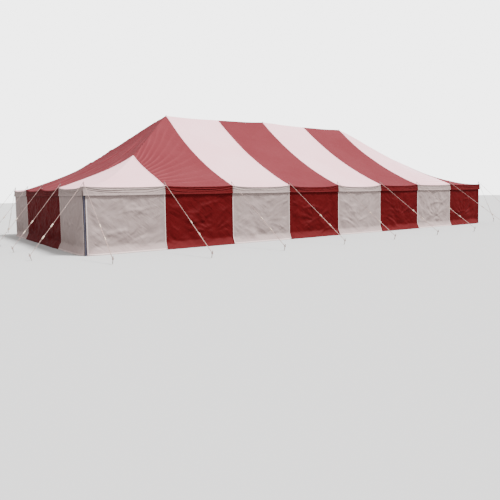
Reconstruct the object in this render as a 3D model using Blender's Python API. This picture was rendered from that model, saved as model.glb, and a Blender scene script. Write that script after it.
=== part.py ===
"""A striped pole tent: a hipped roof held up by three centre poles and stretched
down to side poles, guy ropes and pegs, with a wall curtain hung in every bay.

Metres, +Z up. The origin is on the ground under the middle of the ridge, X runs
along the ridge and the front is on the -Y side.
"""

import math

import bmesh
import bpy
from mathutils import Matrix, Vector

# Driving dimensions
BAY = 2.5
SIDE_BAYS = 8
END_BAYS = 4
EAVE_HEIGHT = 2.0
PEAK_HEIGHT = 5.0
MIDDLE_PEAK_RISE = 0.07
EAVE_OVERHANG = 0.05
VALANCE_BOTTOM = 1.735
SIDE_GUY_REACH = 2.85
CORNER_GUY_REACH = 2.2
END_GUY_REACH = 1.45

# How the stretched cloth hangs
SIDE_SLOPE_DIP = 0.38
END_SLOPE_DIP = 0.45
HIP_DIP = 0.95
HIP_DIP_POWER_LEFT = 1.8
HIP_DIP_POWER_RIGHT = 1.5
HIP_REACH = 2.5
EAVE_SAG = 0.06
EAVE_SAG_FADE = 6
VALANCE_SAG = 0.01
RIDGE_SAG = 0.06
BELLY_SAG = 0.03

# Cloth and the gaps between neighbouring pieces
CLOTH = 0.005
SEAM_GAP = 0.0005
SEAT_GAP = 0.0004
CELLS_PER_BAY = 5

# Walls
WALL_TOP = 1.84
WALL_FLAP_HEIGHT = 0.24
WALL_FLAP_SPREAD = 0.12
CORNER_GAP = 0.02

# Poles
SIDE_POLE_RADIUS = 0.025
SIDE_FOOT_RADIUS = 0.045
SIDE_SPIKE_RADIUS = 0.007
SIDE_SHOULDER = 1.955
SPIKE_RISE = 0.14
CENTRE_POLE_RADIUS = 0.045
CENTRE_FOOT_RADIUS = 0.16
CENTRE_SPIKE_RADIUS = 0.011
CENTRE_SPIKE_RISE = 0.035
FOOT_THICKNESS = 0.008
SPIKE_CLEARANCE = 0.0005

# Guy ropes and pegs
ROPE_RADIUS = 0.008
LOOP_RADIUS = 0.017
SLIDER_RADIUS = 0.02
SLIDER_LENGTH = 0.12
SLIDER_PLACES = (0.60, 0.76)
PEG_RADIUS = 0.013
PEG_HEIGHT = 0.20
PEG_LEAN = 0.06

HALF_LENGTH = BAY * SIDE_BAYS / 2
HALF_WIDTH = BAY * END_BAYS / 2
EDGE_X = HALF_LENGTH + EAVE_OVERHANG
EDGE_Y = HALF_WIDTH + EAVE_OVERHANG
RIDGE_END = HALF_LENGTH - HALF_WIDTH
CENTRE_POLE_PLACES = (-RIDGE_END, 0.0, RIDGE_END)
WALL_INNER = SIDE_POLE_RADIUS + SEAT_GAP
ROPE_HEIGHT = EAVE_HEIGHT + 0.8 * SPIKE_RISE

WHITE = ("white_cloth", (0.83, 0.79, 0.77, 1), 0.6, 0.0)
RED = ("red_cloth", (0.42, 0.03, 0.04, 1), 0.6, 0.0)
STEEL = ("galvanised_steel", (0.42, 0.42, 0.44, 1), 0.45, 0.8)


def clear_scene():
    for obj in list(bpy.data.objects):
        bpy.data.objects.remove(obj)


def material(finish):
    """The material of that finish, made the first time it is asked for."""
    name, colour, roughness, metallic = finish
    found = bpy.data.materials.get(name)
    if found:
        return found
    made = bpy.data.materials.new(name)
    made.use_nodes = True
    shader = made.node_tree.nodes["Principled BSDF"]
    shader.inputs["Base Color"].default_value = colour
    shader.inputs["Roughness"].default_value = roughness
    shader.inputs["Metallic"].default_value = metallic
    return made


def add_object(name, bm, finish, smooth_angle=None):
    mesh = bpy.data.meshes.new(name)
    bm.to_mesh(mesh)
    bm.free()
    mesh.materials.append(material(finish))
    if smooth_angle:
        mesh.shade_smooth()
        mesh.set_sharp_from_angle(angle=smooth_angle)
    obj = bpy.data.objects.new(name, mesh)
    bpy.context.scene.collection.objects.link(obj)
    return obj


def stripe(index):
    """The colours alternate from bay to bay along the tent, white first."""
    return RED if index % 2 else WHITE


# The roof's surface

def bow(share):
    """0 at both ends of a span and 1 along its middle: cloth drops away quickly
    beside what holds it, then runs nearly level."""
    share = share - math.floor(share)
    return 1 - abs(2 * share - 1) ** 3


def eave_distances(x, y):
    """How far a plan point lies inside the nearest end eave and side eave."""
    return EDGE_X - abs(x), EDGE_Y - abs(y)


def slope(rise, off_hip, hip_power, slope_dip):
    """The height of a slope as a share of the peak's, for a rise of 0 at the eave
    and 1 at the ridge. The cloth dips more along the hips than between them."""
    on_hip = rise - HIP_DIP * rise * (1 - rise) ** hip_power
    on_slope = rise - slope_dip * rise * (1 - rise)
    return on_slope + (on_hip - on_slope) * (1 - min(1, off_hip / HIP_REACH)) ** 2


def roof_height(x, y):
    """The outer face of the roof: a hipped roof whose cloth hangs in shallow bows
    between the peaks, the hips and the side poles."""
    from_end, from_side = eave_distances(x, y)
    rise = min(from_end, from_side) / EDGE_Y
    along = x if from_side <= from_end else y
    hip_power = HIP_DIP_POWER_LEFT if x < 0 else HIP_DIP_POWER_RIGHT
    slope_dip = SIDE_SLOPE_DIP if from_side <= from_end else END_SLOPE_DIP
    share = slope(rise, abs(from_end - from_side), hip_power, slope_dip)
    height = EAVE_HEIGHT + (PEAK_HEIGHT - EAVE_HEIGHT) * share
    bay_bow = bow(along / BAY)
    height -= EAVE_SAG * bay_bow * (1 - rise) ** EAVE_SAG_FADE
    height -= BELLY_SAG * bay_bow * 4 * rise * (1 - rise)
    if abs(x) < RIDGE_END:
        height -= RIDGE_SAG * bow(x / RIDGE_END) * rise**3
        height += MIDDLE_PEAK_RISE * (1 - abs(x) / RIDGE_END) * rise
    return height


def on_eave(point):
    """Whether a point of the sheet lies on the end eaves, and on the side eaves."""
    near = EAVE_OVERHANG / 2
    return abs(point.x) > EDGE_X - near, abs(point.y) > EDGE_Y - near


def block_edges(index, count, edge):
    """The two sides of one bay in plan; the outer bays reach the eave."""
    low = (index - count / 2) * BAY
    high = low + BAY
    return (-edge if index == 0 else low), (edge if index == count - 1 else high)


def add_block(bm, i, j):
    """One bay by one bay of flat sheet, cut into small cells."""
    x0, x1 = block_edges(i, SIDE_BAYS, EDGE_X)
    y0, y1 = block_edges(j, END_BAYS, EDGE_Y)
    place = Matrix.Translation(((x0 + x1) / 2, (y0 + y1) / 2, 0))
    size = Matrix.Diagonal(((x1 - x0) / 2, (y1 - y0) / 2, 1, 1))
    bmesh.ops.create_grid(
        bm,
        x_segments=CELLS_PER_BAY,
        y_segments=CELLS_PER_BAY,
        size=1,
        matrix=place @ size,
    )


def crease_along_hips(bm):
    """Cuts the sheet along the four hips, which run at 45 degrees in plan."""
    for side_x in (-1, 1):
        for side_y in (-1, 1):
            bmesh.ops.bisect_plane(
                bm,
                geom=bm.verts[:] + bm.edges[:] + bm.faces[:],
                dist=1e-5,
                plane_co=(side_x * RIDGE_END, 0, 0),
                plane_no=(side_x, -side_y, 0),
            )


def draw_back_seams(bm):
    """Moves the edges that meet a neighbouring piece back by half the seam's gap."""
    steps = {}
    for edge in bm.edges:
        if not edge.is_boundary:
            continue
        a, b = edge.verts
        if any(e1 and e2 for e1, e2 in zip(on_eave(a.co), on_eave(b.co))):
            continue
        middle = (a.co + b.co) / 2
        inward = edge.link_faces[0].calc_center_median() - middle
        axis = 0 if abs(a.co.x - b.co.x) < abs(a.co.y - b.co.y) else 1
        for vert in edge.verts:
            step = steps.setdefault(vert, Vector((0, 0, 0)))
            step[axis] = math.copysign(SEAM_GAP / 2, inward[axis])
    for vert, step in steps.items():
        vert.co += step


def hang_valance(bm):
    """Carries the sheet on down past the eave as the valance."""
    eave = [
        edge
        for edge in bm.edges
        if edge.is_boundary
        and any(e1 and e2 for e1, e2 in zip(on_eave(edge.verts[0].co), on_eave(edge.verts[1].co)))
    ]
    made = bmesh.ops.extrude_edge_only(bm, edges=eave)["geom"]
    for vert in (v for v in made if isinstance(v, bmesh.types.BMVert)):
        along = vert.co.x if on_eave(vert.co)[1] else vert.co.y
        vert.co.z = VALANCE_BOTTOM - VALANCE_SAG * bow(round(along, 2) / BAY)


def cloth_step(point):
    """From the outer face to the inner face of the cloth."""
    on_end, on_side = on_eave(point)
    step = Vector((0, 0, -CLOTH))
    if on_end:
        step.x = -math.copysign(CLOTH, point.x)
    if on_side:
        step.y = -math.copysign(CLOTH, point.y)
    if (on_end or on_side) and point.z < EAVE_HEIGHT - EAVE_SAG - CLOTH:
        step.z = 0
    return step


def thicken(bm):
    made = bmesh.ops.extrude_face_region(bm, geom=bm.faces[:], use_keep_orig=True)["geom"]
    for vert in (v for v in made if isinstance(v, bmesh.types.BMVert)):
        vert.co += cloth_step(vert.co)
    bmesh.ops.recalc_face_normals(bm, faces=bm.faces[:])


def roof_piece(name, blocks, finish, spike_holes):
    bm = bmesh.new()
    for i, j in blocks:
        add_block(bm, i, j)
    bmesh.ops.remove_doubles(bm, verts=bm.verts[:], dist=1e-4)
    crease_along_hips(bm)
    for vert in bm.verts:
        vert.co.z = roof_height(vert.co.x, vert.co.y)
    draw_back_seams(bm)
    hang_valance(bm)
    thicken(bm)
    bmesh.ops.triangulate(bm, faces=bm.faces[:])
    obj = add_object(name, bm, finish)
    cut = obj.modifiers.new("spike_holes", "BOOLEAN")
    cut.operation = "DIFFERENCE"
    cut.solver = "EXACT"
    cut.object = spike_holes


def build_roof(spike_holes):
    last = SIDE_BAYS - 1
    across = range(END_BAYS)
    corners = {
        "roof_corner_front_left": (0, 0),
        "roof_corner_back_left": (0, END_BAYS - 1),
        "roof_corner_front_right": (last, 0),
        "roof_corner_back_right": (last, END_BAYS - 1),
    }
    for name, block in corners.items():
        roof_piece(name, [block], stripe(block[0]), spike_holes)
    for name, inner, outer in (("roof_left_end", 1, 0), ("roof_right_end", last - 1, last)):
        blocks = [(i, j) for i in (inner, outer) for j in across if (i, j) not in corners.values()]
        roof_piece(name, blocks, stripe(inner), spike_holes)
    for i in range(2, SIDE_BAYS - 2):
        roof_piece(f"roof_strip_{i + 1}", [(i, j) for j in across], stripe(i), spike_holes)


# Wall curtains

def wall_outline():
    """The curtain in section: x is the way out from the pole's middle, y is up.
    It hangs straight and its foot spreads outwards over the ground."""
    inner = [
        Vector((WALL_INNER, WALL_TOP)),
        Vector((WALL_INNER, WALL_FLAP_HEIGHT)),
        Vector((WALL_INNER + WALL_FLAP_SPREAD, 0.0)),
    ]
    outer = [
        Vector((WALL_INNER + WALL_FLAP_SPREAD + CLOTH, 0.0)),
        Vector((WALL_INNER + CLOTH, WALL_FLAP_HEIGHT + CLOTH / 2)),
        Vector((WALL_INNER + CLOTH, WALL_TOP)),
    ]
    return inner + outer


def wall_panel(name, start, end, finish):
    """A curtain between two plan points, which lie on the poles' middles. It hangs
    on the left-hand side of the way from start to end."""
    start, end = Vector(start), Vector(end)
    along = (end - start).normalized()
    outward = Vector((along.y, -along.x))
    bm = bmesh.new()
    corners = [
        bm.verts.new((*(start + outward * point.x), point.y)) for point in wall_outline()
    ]
    face = bm.faces.new(corners)
    made = bmesh.ops.extrude_face_region(bm, geom=[face], use_keep_orig=True)["geom"]
    moved = [v for v in made if isinstance(v, bmesh.types.BMVert)]
    bmesh.ops.translate(bm, verts=moved, vec=(*(end - start), 0))
    bmesh.ops.recalc_face_normals(bm, faces=bm.faces[:])
    add_object(name, bm, finish)


def side_spans():
    """The ends of each curtain along one side, measured from the middle."""
    for index in range(SIDE_BAYS):
        low = -HALF_LENGTH + index * BAY
        high = low + BAY
        low += CORNER_GAP if index == 0 else SEAM_GAP / 2
        high -= CORNER_GAP if index == SIDE_BAYS - 1 else SEAM_GAP / 2
        yield index, low, high


def end_spans():
    """A corner curtain at each side of one curtain two bays wide."""
    inner = HALF_WIDTH - BAY
    yield "front", -HALF_WIDTH + CORNER_GAP, -inner - SEAM_GAP / 2
    yield "middle", -inner + SEAM_GAP / 2, inner - SEAM_GAP / 2
    yield "back", inner + SEAM_GAP / 2, HALF_WIDTH - CORNER_GAP


def build_walls():
    for index, low, high in side_spans():
        wall_panel(
            f"wall_front_{index + 1}", (low, -HALF_WIDTH), (high, -HALF_WIDTH), stripe(index)
        )
        wall_panel(
            f"wall_back_{index + 1}", (high, HALF_WIDTH), (low, HALF_WIDTH), stripe(index)
        )
    for place, low, high in end_spans():
        left = stripe(1 if place == "middle" else 0)
        right = stripe(SIDE_BAYS - 2 if place == "middle" else SIDE_BAYS - 1)
        wall_panel(f"wall_left_{place}", (-HALF_LENGTH, high), (-HALF_LENGTH, low), left)
        wall_panel(f"wall_right_{place}", (HALF_LENGTH, low), (HALF_LENGTH, high), right)


# Poles, guy ropes and pegs

def turned(name, profile, sides, place=(0, 0, 0), finish=STEEL):
    """A round piece spun from its profile, (radius, height) points from the foot up."""
    bm = bmesh.new()
    points = [(0, profile[0][1]), *profile, (0, profile[-1][1])]
    verts = [bm.verts.new((radius, 0, height)) for radius, height in points]
    edges = [bm.edges.new(pair) for pair in zip(verts, verts[1:])]
    bmesh.ops.spin(
        bm,
        geom=verts + edges,
        axis=(0, 0, 1),
        cent=(0, 0, 0),
        angle=math.tau,
        steps=sides,
        use_merge=True,
    )
    bmesh.ops.remove_doubles(bm, verts=bm.verts[:], dist=1e-5)
    bmesh.ops.recalc_face_normals(bm, faces=bm.faces[:])
    bmesh.ops.translate(bm, verts=bm.verts[:], vec=place)
    return add_object(name, bm, finish, smooth_angle=math.radians(40))


def rod(name, start, end, radius, sides):
    """A straight round bar between two points."""
    start, end = Vector(start), Vector(end)
    way = end - start
    turn = way.to_track_quat("Z", "X").to_matrix().to_4x4()
    bm = bmesh.new()
    bmesh.ops.create_cone(
        bm,
        cap_ends=True,
        segments=sides,
        radius1=radius,
        radius2=radius,
        depth=way.length,
        matrix=Matrix.Translation((start + end) / 2) @ turn,
    )
    return add_object(name, bm, STEEL, smooth_angle=math.radians(40))


def weld(target, parts):
    """Unites the parts with the target into one solid and removes them."""
    for part in parts:
        join = target.modifiers.new(part.name, "BOOLEAN")
        join.operation = "UNION"
        join.solver = "EXACT"
        join.object = part
    graph = bpy.context.evaluated_depsgraph_get()
    united = bpy.data.meshes.new_from_object(target.evaluated_get(graph))
    target.modifiers.clear()
    target.data = united
    for part in parts:
        bpy.data.objects.remove(part)


def guy_parts(name, head, outward, reach):
    """A taut guy rope with its two sliders, and the peg that it pulls on."""
    outward = Vector((*outward, 0))
    foot = Vector((head.x, head.y, 0)) + outward * reach
    peg_top = foot + Vector((0, 0, PEG_HEIGHT)) + outward * PEG_LEAN
    hitch = foot.lerp(peg_top, 0.7)
    rope = rod(f"{name}_rope", head, hitch, ROPE_RADIUS, 6)
    peg_shape = turned(
        f"{name}_peg",
        [(PEG_RADIUS, 0), (PEG_RADIUS, PEG_HEIGHT), (PEG_RADIUS * 1.6, PEG_HEIGHT * 1.02)],
        8,
    )
    lean = Matrix.Identity(4)
    lean.col[2] = ((peg_top - foot) / PEG_HEIGHT).to_4d()
    lean.col[2][3] = 0
    peg_shape.data.transform(Matrix.Translation(foot) @ lean)
    pull = hitch - head
    half = pull.normalized() * SLIDER_LENGTH / 2
    sliders = [
        rod(f"{name}_slider_{share}", head + pull * share - half, head + pull * share + half,
            SLIDER_RADIUS, 6)
        for share in SLIDER_PLACES
    ]
    return [rope, *sliders, peg_shape]


def side_pole(name, x, y):
    """A side pole with its foot and spike, and the guy ropes hitched on the spike."""
    top = EAVE_HEIGHT + SPIKE_RISE
    profile = [
        (SIDE_FOOT_RADIUS, 0),
        (SIDE_FOOT_RADIUS, FOOT_THICKNESS),
        (SIDE_POLE_RADIUS, FOOT_THICKNESS),
        (SIDE_POLE_RADIUS, SIDE_SHOULDER),
        (SIDE_SPIKE_RADIUS, SIDE_SHOULDER),
        (SIDE_SPIKE_RADIUS, ROPE_HEIGHT - ROPE_RADIUS),
        (LOOP_RADIUS, ROPE_HEIGHT - ROPE_RADIUS),
        (LOOP_RADIUS, ROPE_HEIGHT + ROPE_RADIUS),
        (SIDE_SPIKE_RADIUS, ROPE_HEIGHT + ROPE_RADIUS),
        (SIDE_SPIKE_RADIUS, top),
    ]
    pole = turned(name, profile, 12, place=(x, y, 0))
    head = Vector((x, y, ROPE_HEIGHT))
    parts = []
    on_side, on_end = abs(y) > HALF_WIDTH - BAY / 2, abs(x) > HALF_LENGTH - BAY / 2
    if on_side:
        reach = CORNER_GUY_REACH if on_end else SIDE_GUY_REACH
        parts += guy_parts(f"{name}_side", head, (0, math.copysign(1, y)), reach)
    if on_end:
        parts += guy_parts(f"{name}_end", head, (math.copysign(1, x), 0), END_GUY_REACH)
    weld(pole, parts)


def side_pole_places():
    """(name, x, y) of every side pole, the corner poles among the front and back ones."""
    for index in range(SIDE_BAYS + 1):
        x = -HALF_LENGTH + index * BAY
        yield f"side_pole_front_{index + 1}", x, -HALF_WIDTH
        yield f"side_pole_back_{index + 1}", x, HALF_WIDTH
    for index in range(1, END_BAYS):
        y = -HALF_WIDTH + index * BAY
        yield f"side_pole_left_{index}", -HALF_LENGTH, y
        yield f"side_pole_right_{index}", HALF_LENGTH, y


def peak_height(x):
    """The height of the peak over the centre pole at x."""
    return PEAK_HEIGHT + (MIDDLE_PEAK_RISE if x == 0 else 0)


def centre_pole(name, x):
    peak = peak_height(x)
    shoulder = peak - 0.02
    profile = [
        (CENTRE_FOOT_RADIUS, 0),
        (CENTRE_FOOT_RADIUS, FOOT_THICKNESS),
        (CENTRE_POLE_RADIUS, FOOT_THICKNESS),
        (CENTRE_POLE_RADIUS, shoulder - 2 * CENTRE_POLE_RADIUS),
        (CENTRE_SPIKE_RADIUS, shoulder),
        (CENTRE_SPIKE_RADIUS, peak + CENTRE_SPIKE_RISE),
    ]
    turned(name, profile, 24, place=(x, 0, 0))


def spike_cutter():
    """One hidden mesh of every spike's hole through the roof."""
    bm = bmesh.new()
    places = [(x, y, SIDE_SPIKE_RADIUS, EAVE_HEIGHT) for _, x, y in side_pole_places()]
    places += [(x, 0, CENTRE_SPIKE_RADIUS, peak_height(x)) for x in CENTRE_POLE_PLACES]
    for x, y, radius, height in places:
        bmesh.ops.create_cone(
            bm,
            cap_ends=True,
            segments=12,
            radius1=radius + SPIKE_CLEARANCE,
            radius2=radius + SPIKE_CLEARANCE,
            depth=2 * SPIKE_RISE,
            matrix=Matrix.Translation((x, y, height)),
        )
    cutter = add_object("spike_holes", bm, STEEL)
    cutter.hide_render = True
    cutter.display_type = "WIRE"
    return cutter


def build_poles():
    for name, x, y in side_pole_places():
        side_pole(name, x, y)
    for place, x in zip(("left", "middle", "right"), CENTRE_POLE_PLACES):
        centre_pole(f"centre_pole_{place}", x)


def main():
    clear_scene()
    build_roof(spike_cutter())
    build_walls()
    build_poles()


main()
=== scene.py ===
# %% [markdown]
# # A striped pole tent
#
# A pole tent has no frame. Three tall centre poles push the roof cloth up, short
# side poles lift its edge, and guy ropes pull that edge outwards until the cloth
# is tight. So every shape here is a shape of tension: the roof sweeps in hollow
# curves from peak to eave, and creases run out from whatever pulls on it.
#
# The measured model is loaded first. It gives the places of the poles, and every
# piece below is worked out from them.

# %% Load the measured model
import math
import random

import bmesh
import bpy
from mathutils import Matrix, Vector, noise


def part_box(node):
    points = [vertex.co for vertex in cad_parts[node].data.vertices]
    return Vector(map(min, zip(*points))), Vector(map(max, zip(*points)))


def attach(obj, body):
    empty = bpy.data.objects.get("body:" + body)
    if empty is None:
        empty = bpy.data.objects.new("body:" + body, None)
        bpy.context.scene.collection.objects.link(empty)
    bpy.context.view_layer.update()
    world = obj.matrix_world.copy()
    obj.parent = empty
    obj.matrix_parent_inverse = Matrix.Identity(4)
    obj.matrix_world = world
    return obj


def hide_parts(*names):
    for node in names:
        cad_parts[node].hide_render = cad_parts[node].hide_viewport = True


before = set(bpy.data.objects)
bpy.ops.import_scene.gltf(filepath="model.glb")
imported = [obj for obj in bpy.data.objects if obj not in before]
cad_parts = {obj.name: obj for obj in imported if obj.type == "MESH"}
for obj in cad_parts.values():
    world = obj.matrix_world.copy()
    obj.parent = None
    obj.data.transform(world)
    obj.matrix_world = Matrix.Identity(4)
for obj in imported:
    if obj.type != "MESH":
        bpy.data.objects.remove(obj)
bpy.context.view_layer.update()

# %% [markdown]
# ## Sizes
#
# A few boxes of the model give all the driving sizes: the outer centre poles mark
# the ends of the ridge, and a quarter of the distance between them is one bay.

# %% Driving sizes
def middle(node):
    """The middle of a node's box."""
    low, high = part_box(node)
    return (Vector(low) + Vector(high)) / 2


RIDGE_END = round(middle("centre_pole_right").x, 4)
BAY = RIDGE_END / 2
HALF_LENGTH = RIDGE_END * 2
HALF_WIDTH = RIDGE_END
SIDE_BAYS = 8
END_BAYS = 4
EDGE_X = round(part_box("roof_right_end")[1][0], 3)
EDGE_Y = round(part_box("roof_strip_4")[1][1], 3)
SPIKE_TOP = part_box("side_pole_left_2")[1][2]
SPIKE_RISE = 0.14
EAVE_HEIGHT = SPIKE_TOP - SPIKE_RISE
CENTRE_SPIKE_RISE = 0.035
PEAK_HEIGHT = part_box("centre_pole_left")[1][2] - CENTRE_SPIKE_RISE
MIDDLE_PEAK_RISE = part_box("centre_pole_middle")[1][2] - CENTRE_SPIKE_RISE - PEAK_HEIGHT
ROPE_HEIGHT = EAVE_HEIGHT + 0.8 * SPIKE_RISE
WALL_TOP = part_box("wall_front_4")[1][2]
print("bay", BAY, "eave", round(EAVE_HEIGHT, 3), "peak", round(PEAK_HEIGHT, 3))

# %% [markdown]
# ## The camera
#
# The picture was taken from about eye height, off the left front corner, with an
# ordinary lens. The camera stands there, turned the same way. The picture's
# vanishing point isn't in the middle of the frame, so the lens is shifted a little.

# %% Camera
CAMERA_PLACE = Vector((-14.39, -19.74, 1.755))
CAMERA_YAW = math.radians(35.70)
CAMERA_PITCH = math.radians(-3.25)
CAMERA_ROLL = math.radians(-0.88)

camera = bpy.data.objects.new("camera", bpy.data.cameras.new("camera"))
bpy.context.scene.collection.objects.link(camera)
forward = Vector(
    (
        math.sin(CAMERA_YAW) * math.cos(CAMERA_PITCH),
        math.cos(CAMERA_YAW) * math.cos(CAMERA_PITCH),
        math.sin(CAMERA_PITCH),
    )
)
level = Vector((math.cos(CAMERA_YAW), -math.sin(CAMERA_YAW), 0))
upright = level.cross(forward)
right = level * math.cos(CAMERA_ROLL) + upright * math.sin(CAMERA_ROLL)
up = upright * math.cos(CAMERA_ROLL) - level * math.sin(CAMERA_ROLL)
turn = Matrix((right, up, -forward)).transposed().to_4x4()
camera.matrix_world = Matrix.Translation(CAMERA_PLACE) @ turn
camera.data.sensor_width = 36
camera.data.lens = 36.63
camera.data.shift_x = -0.0216
camera.data.shift_y = -0.0578
camera.data.clip_end = 300
bpy.context.scene.camera = camera
print("camera at", tuple(round(c, 2) for c in camera.location))

# %% [markdown]
# ## Shader maths
#
# Node trees are easier to read as sums. `Value` wraps one socket, and adding,
# multiplying or subtracting it adds the Math node that does so. `Finish` holds one
# material, and its `node` method adds any other node.

# %% Shader expressions
class Value:
    """The numbers that one socket gives, which can be used in a sum."""

    def __init__(self, finish, socket):
        self.finish = finish
        self.socket = socket

    def combine(self, operation, *others):
        values = {index: other for index, other in enumerate(others) if other is not None}
        return self.finish.node("ShaderNodeMath", {"operation": operation}, values)

    def __add__(self, other):
        return self.combine("ADD", self, other)

    __radd__ = __add__

    def __mul__(self, other):
        return self.combine("MULTIPLY", self, other)

    __rmul__ = __mul__

    def __sub__(self, other):
        return self.combine("SUBTRACT", self, other)

    def __rsub__(self, other):
        return self.combine("SUBTRACT", other, self)

    def __truediv__(self, other):
        return self.combine("DIVIDE", self, other)

    def __pow__(self, other):
        return self.combine("POWER", self, other)

    def sine(self):
        return self.combine("SINE", self)

    def clipped(self, low, high):
        """0 up to low, 1 from high on, and a smooth rise between them."""
        return self.finish.node(
            "ShaderNodeMapRange",
            {"interpolation_type": "SMOOTHSTEP"},
            {"Value": self, "From Min": low, "From Max": high},
        )


class Finish:
    """One procedural material."""

    def __init__(self, name):
        self.material = bpy.data.materials.new(name)
        self.material.use_nodes = True
        self.tree = self.material.node_tree
        self.shader = self.tree.nodes["Principled BSDF"]

    def set_socket(self, socket, value):
        if isinstance(value, Value):
            self.tree.links.new(value.socket, socket)
        elif socket.type == "RGBA":
            socket.default_value = (*value[:3], 1)
        else:
            socket.default_value = value

    def node(self, kind, settings=None, values=None, output=0):
        made = self.tree.nodes.new(kind)
        for name, setting in (settings or {}).items():
            setattr(made, name, setting)
        for name, value in (values or {}).items():
            self.set_socket(made.inputs[name], value)
        return Value(self, made.outputs[output])

    def place(self):
        return self.node("ShaderNodeTexCoord", output="Object")

    def flat(self):
        """Where a point lies on the cloth as it was cut, in metres."""
        return self.node("ShaderNodeUVMap", {"uv_map": "cloth"})

    def stretched(self, vector, scale):
        return self.node("ShaderNodeMapping", None, {"Vector": vector, "Scale": scale})

    def part(self, vector, axis):
        return self.node("ShaderNodeSeparateXYZ", None, {0: vector}, output=axis)

    def noise(self, vector, scale, detail=3.0, roughness=0.55, distortion=0.0):
        return self.node(
            "ShaderNodeTexNoise",
            None,
            {
                "Vector": vector,
                "Scale": scale,
                "Detail": detail,
                "Roughness": roughness,
                "Distortion": distortion,
            },
        )

    def mix(self, factor, first, second, blend="MIX"):
        made = self.node("ShaderNodeMix", {"data_type": "RGBA", "blend_type": blend}, output=2)
        sockets = made.socket.node.inputs
        self.set_socket(sockets[0], factor)
        self.set_socket(sockets[6], first)
        self.set_socket(sockets[7], second)
        return made

    def bump(self, height, distance, strength=1.0, under=None):
        values = {"Height": height, "Distance": distance, "Strength": strength}
        if under:
            values["Normal"] = under
        return self.node("ShaderNodeBump", None, values)

    def surface(self, **sockets):
        for name, value in sockets.items():
            self.set_socket(self.shader.inputs[name.replace("_", " ")], value)
        return self.material


def linear(shade):
    """One channel of a screen colour, 0 to 255, as the light it stands for."""
    share = shade / 255
    return share / 12.92 if share < 0.04 else ((share + 0.055) / 1.055) ** 2.4


def srgb(red, green, blue):
    """A colour as seen on a screen, in the linear values that shaders use."""
    return linear(red), linear(green), linear(blue)


print("shader helpers ready")

# %% [markdown]
# ## Tent cloth
#
# The cloth is coated canvas. Seen from across a field it is one colour, faded by the sun in soft patches.
# Closer, rain has left faint runs down the slope, the foot of each wall is painted lighter as a painted
# light for the floor's bounce, and a plain weave shows through the coating. Each of these is a noise at its
# own scale, from metres down to millimetres. On top of these, the roof's colours are painted lighter and the
# walls' darker, as lit and shaded copies, and every crease is painted light where it stands out or faces up
# and dark in its hollows, a painted light and shade.
#
# Slack cloth also crumples. Its creases are long, thin and slanting, so they come
# from a noise that is stretched along one slant in some places and along the other
# slant elsewhere. They follow the cloth's own UV map, like the weave.

# %% Cloth finishes
THREADS = 2600.0


def crumples(finish, flat):
    """Long thin creases that slant one way or the other."""
    broad = finish.noise(flat, 0.9, 2.0)
    side = broad.clipped(0.44, 0.56)
    families = []
    for slant in (0.70, -0.55):
        slanted = finish.node("ShaderNodeMapping", None, {"Vector": flat, "Rotation": (0, 0, slant)})
        families.append(finish.noise(finish.stretched(slanted, (2.0, 7.0, 1.0)), 1.0, 2.5, 0.45, 0.4))
    return families[0] * side + families[1] * (1 - side)


def paint_ridge_light_and_shade(finish, base, light, dark):
    """Painted light and shade: what stands out or faces up is painted lighter, a painted highlight as if lit
    from above, and hollows and what faces down are painted darker, a painted shade. How far each point does
    so is kept on the mesh, as an attribute called ridge."""
    ridge = finish.node("ShaderNodeAttribute", {"attribute_name": "ridge"}, output=2)
    base = finish.mix(ridge.clipped(0.0, 1.0) * 0.5, base, light)
    return finish.mix((ridge * -1).clipped(0.0, 1.0) * 0.4, base, dark)


def cloth_finish(name, colour, faded, dirt, foot, roughness, sheen, gloss, crumple):
    finish = Finish(name)
    place = finish.place()
    flat = finish.flat()
    patches = finish.noise(place, 0.55, 4.0).clipped(0.35, 0.68)
    mottle = finish.noise(place, 7.0, 5.0, 0.65)
    runs = finish.noise(finish.stretched(flat, (5.0, 0.35, 1.0)), 1.6, 4.0).clipped(0.52, 0.78)
    # Painted light: the foot of a wall, up to about 16 cm with a ragged edge, is painted in its paler foot
    # colour, standing in for the light that the floor bounces onto it.
    height = finish.part(place, 2)
    bounce_edge_noise = finish.noise(place, 4.5, 5.0, 0.7)
    painted_bounce_mask = 1 - (height - bounce_edge_noise * 0.20).clipped(-0.10, 0.16)
    base = finish.mix(patches * 0.55, colour, faded)
    base = finish.mix((mottle - 0.35) * 0.16, base, dirt)
    base = finish.mix(runs * 0.10, base, dirt)
    base = finish.mix(painted_bounce_mask * 0.5, base, foot)
    # Painted highlight and painted shade: a lit and a shaded copy of the cloth's colour, mixed in along the
    # creases by the ridge attribute.
    lighter = tuple(min(0.95, channel * 1.45 + 0.01) for channel in colour)
    darker = tuple(channel * 0.62 for channel in colour)
    base = paint_ridge_light_and_shade(finish, base, lighter, darker)
    across = (finish.part(flat, 0) * THREADS).sine()
    along = (finish.part(flat, 1) * THREADS).sine()
    weave = across * along
    normal = finish.bump(crumples(finish, flat), crumple, 1.0)
    normal = finish.bump(finish.noise(place, 14.0, 4.0, 0.6), 0.004, 0.35, normal)
    normal = finish.bump(weave, 0.0003, 0.25, normal)
    return finish.surface(
        Base_Color=base,
        Roughness=mottle * 0.18 + roughness,
        Sheen_Weight=sheen,
        Sheen_Roughness=0.5,
        Specular_IOR_Level=gloss,
        Normal=normal,
    )


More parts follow.
